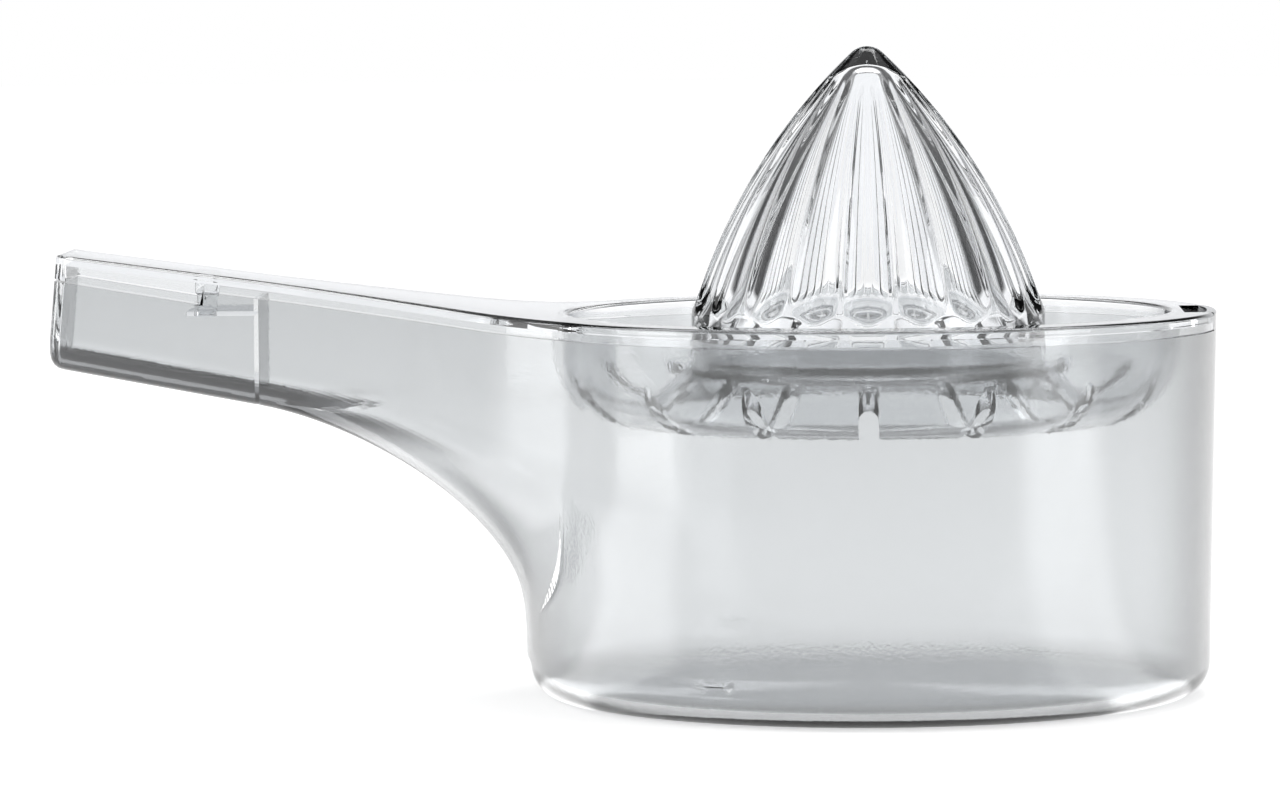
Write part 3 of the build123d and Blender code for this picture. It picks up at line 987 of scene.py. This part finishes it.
    def dress(self, jug: bpy.types.Object) -> None:
        """Give the jug its satin finish with painted shade, and a painted fine dark line along its seam.

        Args:
            jug: The finished jug.
        """
        dress(jug, SATIN, self.place)
        # Painted shade line on the seam's level faces.
        jug.data.materials.append(SEAM_SHADE.make())
        for number in self.seam_shade_faces(jug):
            jug.data.polygons[number].material_index = 1

    def shelf_top(self) -> float:
        """Height of the shelf that takes the lid's peg."""
        level = self.shape.rim_height - self.shape.band
        seam = self.shape.rising(level, np.array([-self.peg_reach()]))[0]
        return seam - self.shelf_depth

    def peg_reach(self) -> float:
        """Reach of the peg's axis."""
        return self.shape.grip_start + self.peg_run

    def shelf(self) -> bpy.types.Object:
        """Shelf between the grip's walls, from the bulkhead to past the peg.

        Returns:
            The shelf's solid.
        """
        half = self.shape.grip_width / 2 - self.shape.wall / 2
        top = self.shelf_top()
        low = (-self.peg_reach() - self.shelf_margin, -half, top - self.shelf_thickness)
        return block("shelf", low, (-self.shape.grip_start - self.bulkhead / 2, half, top))

    def peg_hole(self) -> bpy.types.Object:
        """Round hole through the shelf.

        Returns:
            The body that cuts the hole.
        """
        top = self.shelf_top()
        low = top - 2 * self.shelf_thickness
        high = top + self.shelf_thickness
        profile = [(0, low), (self.hole_radius, low), (self.hole_radius, high), (0, high)]
        hole = revolved("hole", profile, self.hole_columns)
        hole.data.transform(Matrix.Translation((-self.peg_reach(), 0, 0)))
        return hole


def copy_of(thing: bpy.types.Object) -> bpy.types.Object:
    """Copy an object with its mesh.

    Args:
        thing: Object to copy.

    Returns:
        The linked copy.
    """
    made = thing.copy()
    made.data = thing.data.copy()
    bpy.context.scene.collection.objects.link(made)
    return made


def joined(first: bpy.types.Object, second: bpy.types.Object) -> bpy.types.Object:
    """Weld two open meshes that share an edge loop into the first one.

    Args:
        first: Object that takes both meshes.
        second: Object that is dropped.

    Returns:
        The first object.
    """
    work = bmesh.new()
    work.from_mesh(first.data)
    work.from_mesh(second.data)
    bmesh.ops.remove_doubles(work, verts=work.verts, dist=1e-6)
    bmesh.ops.recalc_face_normals(work, faces=work.faces)
    work.to_mesh(first.data)
    work.free()
    bpy.data.objects.remove(second)
    return first


@dataclass
class StrainerLid:
    """Lid: flat ring and cover strip, juice gutter with slots, hub, pour notch and locating peg."""

    shape: Envelope
    place: Place = Place("strainer_lid", "lid", "lid_plastic")
    ring_width: float = 0.0094
    edge: float = 0.0008
    ring_gap: float = 0.00025
    cover_gap: float = 0.00045
    gutter_depth: float = 0.0225
    gutter_turn: float = 0.0158
    gutter_flat: float = 0.0014
    seat_depth: float = 0.0113
    seat_radius: float = 0.0366
    hub_radius: float = 0.0330
    hub_rise: float = 0.0018
    slot_count: int = 16
    slot_width: float = 0.0039
    slot_inner: float = 0.0374
    slot_outer: float = 0.0596
    notch_width: float = 0.0246
    notch_clearance: float = 0.0004
    peg_reach: float = 0.1334
    peg_radius: float = 0.00245
    peg_shoulder: float = 0.0813
    peg_tip_radius: float = 0.00205
    peg_tip_length: float = 0.0041
    lower_roundings: tuple[float, ...] = (0.0006, 0.0008, 0.0012, 0.0020)
    upper_roundings: tuple[float, ...] = (0.0008, 0.0003, 0.0005, 0.0016)
    peg_roundings: tuple[float, ...] = (0.0005, 0.0002, 0.0004)
    columns: int = 256
    peg_columns: int = 48
    turn_steps: int = 24
    edge_steps: int = 6
    slot_steps: int = 12

    def plate(self) -> bpy.types.Object:
        """Ring and cover strip as one slab, with its rounded upper edge.

        Returns:
            The slab's solid.
        """
        shape = self.shape
        rows, beyond = shape.plan()
        over_handle = rows[:, 0] < -shape.rim_radius + shape.rise_inset
        gap = np.where(over_handle, self.cover_gap, self.ring_gap)
        low = shape.ring(rows, shape.seam(rows[:, 0], beyond) + gap)
        top = shape.rising(shape.rim_height, rows[:, 0])
        sheet = [low]
        for share in (0.25, 0.5, 0.75, 1.0):
            sheet.append(shape.ring(rows, low[:, 2] + share * (top - self.edge - low[:, 2])))
        side = sheet[-1]
        out = shape.normals(side)
        out[:, 2] = 0
        out /= np.linalg.norm(out, axis=1)[:, None]
        for inward, up in arc((0, 0), self.edge, 0, 90, self.edge_steps)[1:]:
            level = side - out * (self.edge - inward)
            level[:, 1] = np.maximum(level[:, 1], 0)
            level[:, 2] = shape.rising(shape.rim_height - self.edge, level[:, 0]) + up
            sheet.append(level)
        return banded_solid("lid_shell", np.array(sheet))

    def hollow(self) -> bpy.types.Object:
        """Space under the plate, inside the lid's skirt.

        Returns:
            The body that cuts the space.
        """
        shape = self.shape
        rows, _ = shape.plan()
        low = shape.seam(rows[:, 0], np.zeros(len(rows), bool)) - 4 * shape.band
        top = shape.rising(shape.rim_height - shape.plate, rows[:, 0])
        side = shape.ring(rows, top)
        out = shape.normals(side)
        out[:, 2] = 0
        out /= np.linalg.norm(out, axis=1)[:, None]
        inner = side - out * shape.wall
        inner[:, 1] = np.maximum(inner[:, 1], 0)
        inner[0, 1] = inner[-1, 1] = 0
        sheet = []
        for share in (0, 0.5, 1):
            level = inner.copy()
            level[:, 2] = low + share * (shape.rising(shape.rim_height - shape.plate, level[:, 0]) - low)
            sheet.append(level)
        return banded_solid("lid_hollow", np.array(sheet))

    def gutter(self) -> tuple[bpy.types.Object, bpy.types.Object]:
        """Bowl of the gutter and hub as a filled body, and the space inside it that is cut away.

        Returns:
            The filled body and the space.
        """
        shape = self.shape
        wall = shape.wall
        mouth = shape.rim_radius - self.ring_width
        outer = mouth + wall
        bottom = shape.rim_height - self.gutter_depth
        seat = shape.rim_height - self.seat_depth
        turn = bottom + self.gutter_turn
        slope_foot = outer - self.gutter_turn - self.gutter_flat
        slope = atan2(seat - bottom - wall, slope_foot - self.seat_radius)
        shift = wall * sin(slope) / (1 + cos(slope))
        hub_top = seat + self.hub_rise
        centre = outer - self.gutter_turn
        below, above = self.lower_roundings, self.upper_roundings
        body = rounded(
            [
                (0, hub_top - wall, 0),
                (self.hub_radius - wall, hub_top - wall, below[0]),
                (self.hub_radius - wall, seat - wall, below[1]),
                (self.seat_radius - shift, seat - wall, below[2]),
                (slope_foot - shift, bottom, below[3]),
                (centre, bottom, 0),
            ]
        )
        body += arc((centre, turn), self.gutter_turn, -90, 0, self.turn_steps)[1:]
        body += [(outer, shape.rim_height - self.edge), (0, shape.rim_height - self.edge)]
        space = rounded(
            [
                (0, hub_top, 0),
                (self.hub_radius, hub_top, above[0]),
                (self.hub_radius, seat, above[1]),
                (self.seat_radius, seat, above[2]),
                (slope_foot, bottom + wall, above[3]),
                (centre, bottom + wall, 0),
            ]
        )
        space += arc((centre, turn), self.gutter_turn - wall, -90, 0, self.turn_steps)[1:]
        rim = (mouth + self.edge, shape.rim_height - self.edge)
        space += arc(rim, self.edge, 180, 90, self.edge_steps)
        clear = shape.rim_height + self.gutter_depth
        space += [(mouth + self.edge, clear), (0, clear)]
        return revolved("gutter", body, self.columns), revolved("gutter_space", space, self.columns)

    def slot(self, index: int) -> bpy.types.Object:
        """Upright prism with round ends that cuts one slot.

        Args:
            index: Number of the slot, counted round the lid from +X.

        Returns:
            The body that cuts the slot.
        """
        radius = self.slot_width / 2
        ends = arc((self.slot_outer - radius, 0), radius, -90, 90, self.slot_steps)
        ends += arc((self.slot_inner + radius, 0), radius, 90, 270, self.slot_steps)
        angle = 2 * pi * index / self.slot_count
        low = self.shape.rim_height - self.gutter_depth - self.shape.wall
        high = low + self.gutter_turn + 2 * self.shape.wall
        turned = [(x * cos(angle) - y * sin(angle), x * sin(angle) + y * cos(angle)) for x, y in ends]
        points = [(x, y, z) for z in (low, high) for x, y in turned]
        count = len(ends)
        sides = [(i, (i + 1) % count, (i + 1) % count + count, i + count) for i in range(count)]
        faces = sides + [tuple(range(count)), tuple(range(count, 2 * count))]
        return new_object("slot", np.array(points), faces)

    def build(self) -> bpy.types.Object:
        """Make the whole lid.

        Returns:
            The lid's object.
        """
        shape = self.shape
        lid = combine(self.plate(), self.hollow(), Combine.CUT)
        body, space = self.gutter()
        combine(lid, body, Combine.JOIN)
        combine(lid, space, Combine.CUT)
        for index in range(self.slot_count):
            combine(lid, self.slot(index), Combine.CUT)
        notch_start = shape.rim_radius - self.ring_width + shape.wall + self.notch_clearance
        low = (notch_start, -self.notch_width / 2, shape.rim_height - 4 * shape.band)
        high = (2 * shape.rim_radius, self.notch_width / 2, shape.rim_height + shape.band)
        combine(lid, block("notch", low, high), Combine.CUT)
        top = shape.rising(shape.rim_height - shape.plate / 2, np.array([-self.peg_reach]))[0]
        tip_low = self.peg_shoulder - self.peg_tip_length
        profile = rounded(
            [
                (0, tip_low, 0),
                (self.peg_tip_radius, tip_low, self.peg_roundings[0]),
                (self.peg_tip_radius, self.peg_shoulder, self.peg_roundings[1]),
                (self.peg_radius, self.peg_shoulder, self.peg_roundings[2]),
                (self.peg_radius, top, 0),
                (0, top, 0),
            ]
        )
        peg = revolved("peg", profile, self.peg_columns)
        peg.data.transform(Matrix.Translation((-self.peg_reach, 0, 0)))
        return combine(lid, peg, Combine.JOIN)

    def dress(self, lid: bpy.types.Object) -> None:
        """Give the lid its glossy finish."""
        dress(lid, GLOSSY, self.place)


def block(name: str, low: Sequence[float], high: Sequence[float]) -> bpy.types.Object:
    """Make an upright block between two corners, as a cutting body.

    Args:
        name: Name of the object.
        low: Lowest corner.
        high: Highest corner.

    Returns:
        The closed block.
    """
    across, along, up = zip(low, high)
    points = np.array([(x, y, z) for x in across for y in along for z in up])
    faces = [(0, 1, 3, 2), (4, 6, 7, 5), (0, 4, 5, 1), (2, 3, 7, 6), (0, 2, 6, 4), (1, 5, 7, 3)]
    return new_object(name, points, faces)


@dataclass
class ReamerCone:
    """Hollow cone with flutes that end in rounded scoops above its foot and run out below its tip."""

    place: Place = Place("reamer_cone", "cone", "cone_plastic")
    seat: float = 0.0659
    radius: float = 0.0356
    foot_band: float = 0.0116
    height: float = 0.0660
    side_radius: float = 0.1185
    tip_radius: float = 0.0046
    wall: float = 0.0040
    bore_radius: float = 0.0333
    bore_top: float = 0.0721
    flutes: int = 20
    flute_depth_share: float = 0.062
    ridge_share: float = 0.008
    flute_foot_rise: float = 0.0104
    flute_foot_run: float = 0.0065
    flute_head_drop: float = 0.0079
    flute_head_run: float = 0.0050
    ridge_softness: float = 0.00025
    columns_per_flute: int = 20
    rows: int = 110
    band_rows: int = 24
    bore_rows: int = 48
    tip_steps: int = 16

    def side_centre(self) -> tuple[float, float]:
        """Centre of the circle that the cone's side follows in section.

        Returns:
            Radius and height of the centre.
        """
        shoulder, apex = self.seat + self.foot_band, self.seat + self.height
        rise = apex - shoulder
        chord = hypot(self.radius, rise)
        share = sqrt(self.side_radius**2 - (chord / 2) ** 2) / chord
        return self.radius / 2 - share * rise, (apex + shoulder) / 2 - share * self.radius

    def section(self, inset: float) -> Profile:
        """Side from the foot band up over the rounded tip to the axis, set in from the outside.

        Args:
            inset: Distance in from the outside.

        Returns:
            The section's points, lowest first.
        """
        x, z = self.side_centre()
        radius = self.side_radius - inset
        start_z = self.seat + self.foot_band if inset == 0 else self.bore_top
        low = atan2(start_z - z, sqrt(max(radius**2 - (start_z - z) ** 2, 0)))
        tip_z = z + sqrt((radius - self.tip_radius) ** 2 - x**2)
        high = atan2(tip_z - z, -x)
        rows = self.rows if inset == 0 else self.bore_rows
        points = arc((x, z), radius, low * 180 / pi, high * 180 / pi, rows)
        return points + arc((0, tip_z), self.tip_radius, high * 180 / pi, 90, self.tip_steps)[1:]

    def flute_shares(self) -> np.ndarray:
        """Place of each column across its flute, from -1 to 1, closer together at the ridges."""
        share = np.linspace(-1, 1, self.columns_per_flute + 1)[:-1]
        return 1.5 * share - 0.5 * share**3

    def flute_angles(self) -> np.ndarray:
        """Angle of each column round the cone."""
        local = self.flute_shares() * pi / self.flutes
        middles = 2 * pi * np.arange(self.flutes) / self.flutes - pi / 2
        return (middles[:, None] + local).ravel()

    def build(self) -> bpy.types.Object:
        """Make the cone.

        Returns:
            The cone's object.
        """
        climb = np.linspace(0, 1, self.band_rows)[:-1]
        outside = [(self.radius, self.seat + self.foot_band * share) for share in climb]
        outside += self.section(0)
        radii, heights = np.array(outside).T
        angles = self.flute_angles()
        local = np.tile(self.flute_shares(), self.flutes)
        foot = self.seat + self.flute_foot_rise
        head = self.seat + self.height - self.flute_head_drop
        below = np.maximum(foot + self.flute_foot_run - heights, 0) / self.flute_foot_run
        above = np.maximum(heights - head + self.flute_head_run, 0) / self.flute_head_run
        head_radius = float(np.interp(head, heights, radii))
        growth = self.flute_depth_share * (self.radius * below**2 + head_radius * above**2)
        valley = 1 - self.flute_depth_share
        ridge = 1 + self.ridge_share
        hollow = radii[:, None] * (valley + (ridge - valley) * local**2) + growth[:, None]
        plain = np.repeat(radii[:, None], len(angles), axis=1)
        soft = self.ridge_softness
        near = np.maximum(soft - np.abs(hollow - plain), 0) / soft
        shaped = np.minimum(hollow, plain) - near * near * soft / 4
        inside = [(self.bore_radius, self.seat), (self.bore_radius, self.bore_top)]
        inside += self.section(self.wall)
        inner_radii, inner_heights = np.array(inside).T
        shaped = np.vstack([np.repeat(inner_radii[::-1, None], len(angles), axis=1), shaped])
        levels = np.concatenate([inner_heights[::-1], heights])
        points = np.stack(
            [
                shaped * np.cos(angles),
                shaped * np.sin(angles),
                np.repeat(levels[:, None], len(angles), axis=1),
            ],
            axis=-1,
        ).reshape(-1, 3)
        count = len(angles)
        faces = []
        for row in range(len(levels) - 1):
            for column in range(count):
                after = (column + 1) % count
                low, high = row * count, (row + 1) * count
                faces.append((low + column, low + after, high + after, high + column))
        return new_object("reamer_shell", points, faces)

    def dress(self, cone: bpy.types.Object) -> None:
        """Give the cone its clearest finish."""
        dress(cone, CRYSTAL, self.place)


@dataclass(frozen=True)
class Lamp:
    """Soft area lamp that looks at the object."""

    name: str
    place: tuple[float, float, float]
    size: tuple[float, float]
    power: float
    aim: tuple[float, float, float] = (0.0, 0.0, 0.05)

    def build(self) -> None:
        """Add the lamp."""
        light = bpy.data.lights.new(self.name, "AREA")
        light.shape = "RECTANGLE"
        light.size, light.size_y = self.size
        light.energy = self.power
        made = bpy.data.objects.new(self.name, light)
        bpy.context.scene.collection.objects.link(made)
        made.location = self.place
        made.rotation_euler = (Vector(self.aim) - Vector(self.place)).to_track_quat("-Z", "Y").to_euler()


@dataclass
class Studio:
    """White sweep, soft lamps and the camera."""

    camera_place: tuple[float, float, float] = (0.0, -1.2987, 0.15039)
    pitch: float = 0.0700
    roll: float = -0.0076
    yaw: float = -0.0355
    lens: float = 181.46
    floor_radius: float = 6.0
    floor_tone: float = 0.90
    floor_lift: float = 0.52
    floor_gap: float = 0.0003
    floor_columns: int = 64
    # Size and strength of the painted glow patches on the floor below the window lamps, seen only in
    # reflections.
    glow_patch_turn: float = radians(14)
    glow_patch_strength: float = 1.2
    sky_tones: tuple[tuple[float, float], ...] = (
        (0.00, 1.0),
        (0.60, 1.0),
        (0.66, 0.08),
        (0.84, 0.06),
        (0.90, 1.0),
        (1.00, 1.0),
    )
    sky_strength: float = 0.60
    lamps: tuple[Lamp, ...] = (
        Lamp("left_window", (-0.56, -0.16, 0.26), (0.28, 0.50), 0.95),
        Lamp("right_window", (0.52, -0.26, 0.26), (0.24, 0.50), 0.80),
        Lamp("overhead", (0.1, 0.5, 1.3), (0.9, 0.5), 5.0),
    )

    def camera(self) -> None:
        """Add the camera at the photograph's viewing angle."""
        made = bpy.data.objects.new("camera", bpy.data.cameras.new("camera"))
        made.data.lens = self.lens
        made.data.sensor_width = 36.0
        made.data.clip_start = 0.01
        bpy.context.scene.collection.objects.link(made)
        flat = cos(self.pitch)
        forward = Vector((sin(self.yaw) * flat, cos(self.yaw) * flat, -sin(self.pitch)))
        level = Vector((cos(self.yaw), -sin(self.yaw), 0))
        upright = level.cross(forward)
        right = level * cos(self.roll) + upright * sin(self.roll)
        up = upright * cos(self.roll) - level * sin(self.roll)
        turn = Matrix((right, up, -forward)).transposed()
        made.matrix_world = Matrix.Translation(self.camera_place) @ turn.to_4x4()
        bpy.context.scene.camera = made

    def floor(self) -> None:
        """Add the pale floor, which keeps the object's shadow."""
        low, radius = -self.floor_gap, self.floor_radius
        angles = np.linspace(0, 2 * pi, self.floor_columns + 1)[:-1]
        ring = [(radius * cos(angle), radius * sin(angle), low) for angle in angles]
        made = new_object("floor", np.array(ring), [tuple(range(self.floor_columns))])
        material = bpy.data.materials.new("pale_floor")
        material.use_nodes = True
        tree = material.node_tree
        surface = tree.nodes["Principled BSDF"]
        surface.inputs["Base Color"].default_value = (self.floor_tone,) * 3 + (1,)
        surface.inputs["Roughness"].default_value = 0.9
        surface.inputs["Specular IOR Level"].default_value = 0.0
        surface.inputs["Emission Color"].default_value = (1, 1, 1, 1)
        lift = add_node(tree, "ShaderNodeMath", operation="MULTIPLY")
        tree.links.new(seen_mask(tree, tuple(Seen)), lift.inputs[0])
        lift.inputs[1].default_value = self.floor_lift
        # Painted glow: floor patches below the windows glow for glossy rays only, lighting reflections in
        # the plastic.
        glow = add_node(tree, "ShaderNodeMath", operation="MULTIPLY_ADD")
        tree.links.new(self.window_glow(tree), glow.inputs[0])
        tree.links.new(seen_mask(tree, (Seen.GLOSSY,)), glow.inputs[1])
        tree.links.new(lift.outputs[0], glow.inputs[2])
        tree.links.new(glow.outputs[0], surface.inputs["Emission Strength"])
        made.data.materials.append(material)

    def window_glow(self, tree: bpy.types.NodeTree) -> bpy.types.NodeSocket:
        """Strength of the painted glow on the floor below the two window lamps: two patches that only glossy
        rays see, in place of lit reflecting cards.

        Args:
            tree: The floor's node tree.

        Returns:
            Socket with the strength at each place of the floor.
        """
        place = add_node(tree, "ShaderNodeNewGeometry")
        toward = add_node(tree, "ShaderNodeVectorMath", operation="NORMALIZE")
        tree.links.new(place.outputs["Position"], toward.inputs[0])
        glow_patches = []
        for lamp in self.lamps[:2]:
            line = Vector((lamp.place[0], lamp.place[1], 0)).normalized()
            turn = add_node(tree, "ShaderNodeVectorMath", operation="DOT_PRODUCT")
            tree.links.new(toward.outputs[0], turn.inputs[0])
            turn.inputs[1].default_value = line
            glow_patch = add_node(tree, "ShaderNodeMapRange", interpolation_type="SMOOTHSTEP")
            glow_patch.inputs["From Min"].default_value = cos(self.glow_patch_turn * 1.3)
            glow_patch.inputs["From Max"].default_value = cos(self.glow_patch_turn * 0.7)
            glow_patch.inputs["To Max"].default_value = self.glow_patch_strength
            tree.links.new(turn.outputs["Value"], glow_patch.inputs["Value"])
            glow_patches.append(glow_patch.outputs["Result"])
        both = add_node(tree, "ShaderNodeMath", operation="MAXIMUM")
        for glow_patch, socket in zip(glow_patches, both.inputs):
            tree.links.new(glow_patch, socket)
        return both.outputs[0]

    def world(self) -> None:
        """Set a white world with a dark belt part of the way up that only the plastic sees."""
        world = bpy.data.worlds.new("studio")
        world.use_nodes = True
        bpy.context.scene.world = world
        tree = world.node_tree
        back = tree.nodes["Background"]
        place = add_node(tree, "ShaderNodeTexCoord")
        parts = add_node(tree, "ShaderNodeSeparateXYZ")
        tree.links.new(place.outputs["Generated"], parts.inputs[0])
        height = add_node(tree, "ShaderNodeMath", operation="MULTIPLY_ADD")
        tree.links.new(parts.outputs["Z"], height.inputs[0])
        height.inputs[1].default_value = 0.5
        height.inputs[2].default_value = 0.5
        ramp = add_node(tree, "ShaderNodeValToRGB")
        tree.links.new(height.outputs[0], ramp.inputs[0])
        marks = ramp.color_ramp.elements
        while len(marks) < len(self.sky_tones):
            marks.new(0.5)
        for mark, (at, tone) in zip(marks, self.sky_tones):
            mark.position = at
            mark.color = (tone, tone * 1.01, tone * 1.03, 1)
        seen = seen_mask(tree, (Seen.GLOSSY, Seen.TRANSMISSION))
        mix = add_node(tree, "ShaderNodeMix", data_type="RGBA")
        tree.links.new(seen, mix.inputs["Factor"])
        first, second = [s for s in mix.inputs if s.type == "RGBA"]
        first.default_value = (1, 1, 1, 1)
        tree.links.new(ramp.outputs["Color"], second)
        tree.links.new(next(s for s in mix.outputs if s.type == "RGBA"), back.inputs["Color"])
        strength = add_node(tree, "ShaderNodeMapRange")
        tree.links.new(seen_mask(tree, tuple(Seen)), strength.inputs["Value"])
        strength.inputs["To Min"].default_value = self.sky_strength
        strength.inputs["To Max"].default_value = 1.0
        tree.links.new(strength.outputs["Result"], back.inputs["Strength"])

    def build(self) -> None:
        """Set up the whole studio."""
        bpy.context.scene.view_settings.view_transform = "Standard"
        self.camera()
        self.floor()
        self.world()
        for lamp in self.lamps:
            lamp.build()


def main() -> None:
    """Build the pieces, dress them and set the studio."""
    shape = Envelope()
    for maker in (Jug(shape), StrainerLid(shape), ReamerCone()):
        made = maker.build()
        maker.dress(made)
        log.info("%s: %d points", made.name, len(made.data.vertices))
    Studio().build()


if __name__ == "__main__":
    logging.basicConfig(level=logging.INFO)
    main()
